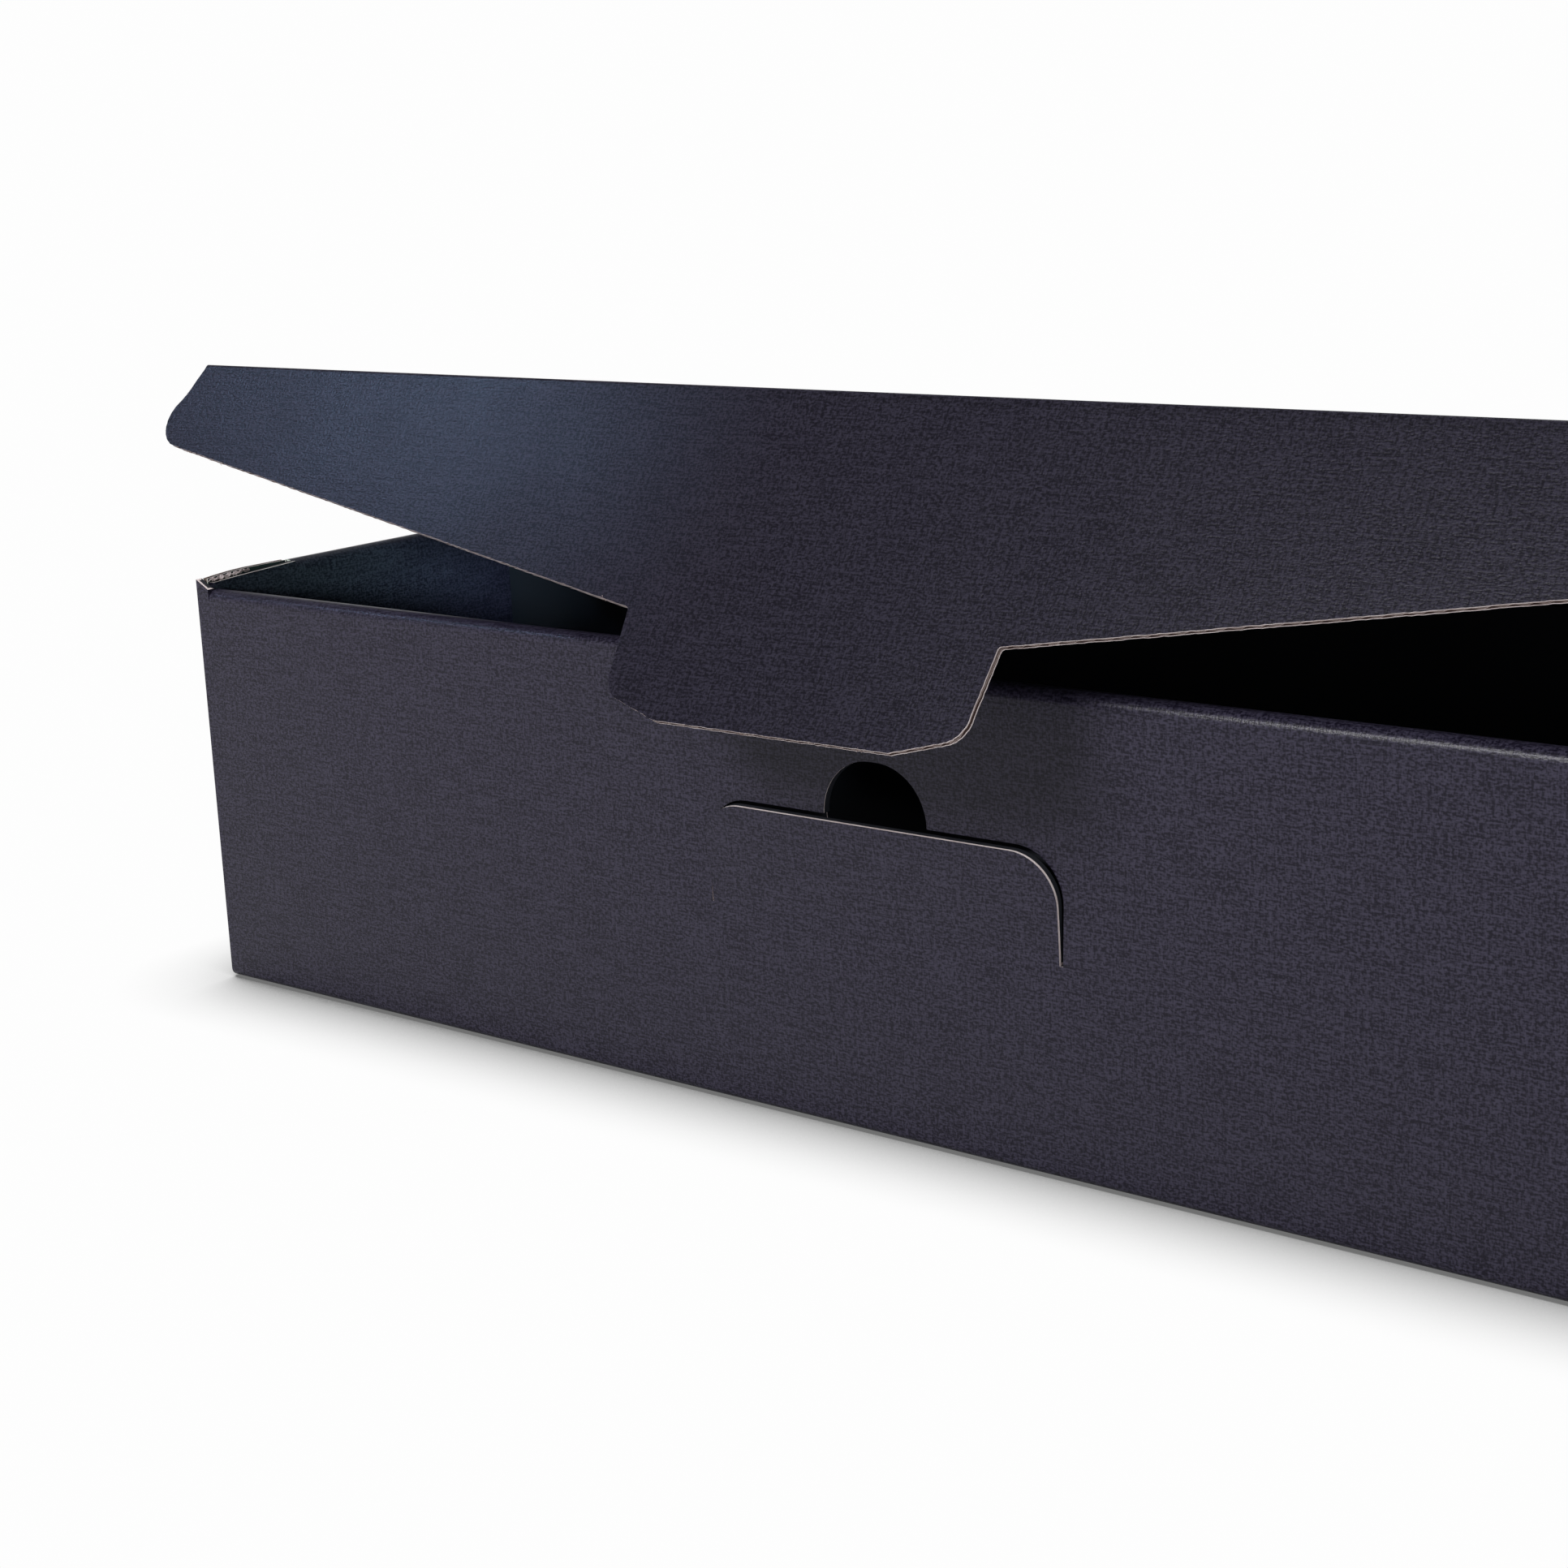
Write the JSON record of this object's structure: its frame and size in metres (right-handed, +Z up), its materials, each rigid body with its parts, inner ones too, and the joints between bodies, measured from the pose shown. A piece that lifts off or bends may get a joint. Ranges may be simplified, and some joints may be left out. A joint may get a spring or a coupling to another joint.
{
  "type": "bottle gift box",
  "caption": "Long folding card box for one bottle, with rolled walls, a hinged lid, and a flap whose tongue tucks behind a slit tab below a half-moon finger hole.",
  "frame": {"origin": "centre of the base's underside, where the box rests", "axes": "+X along the box, to the right as the closing flap is faced; +Y from the closing flap to the lid's hinge; +Z up out of the open box"},
  "size_m": [0.3764, 0.1209, 0.1357],
  "materials": {
    "dark_board": "dark navy-black, linen-embossed outside, with pale raw edges"
  },
  "bodies": {
    "tray": {"folded_tray": "dark_board"},
    "lid": {"lid_panel": "dark_board"},
    "flap": {"closing_flap": "dark_board"}
  },
  "joints": [
    {"name": "lid_hinge", "type": "hinge", "parent": "tray", "child": "lid", "pos_m": [0, 0.0452, 0.092], "axis": [-1, 0, 0], "range_deg": [-27.1, 152.9]},
    {"name": "flap_hinge", "type": "hinge", "parent": "lid", "child": "flap", "pos_m": [0, -0.03866, 0.13491], "axis": [-1, 0, 0], "range_deg": [-6.4, 83.6]}
  ]
}
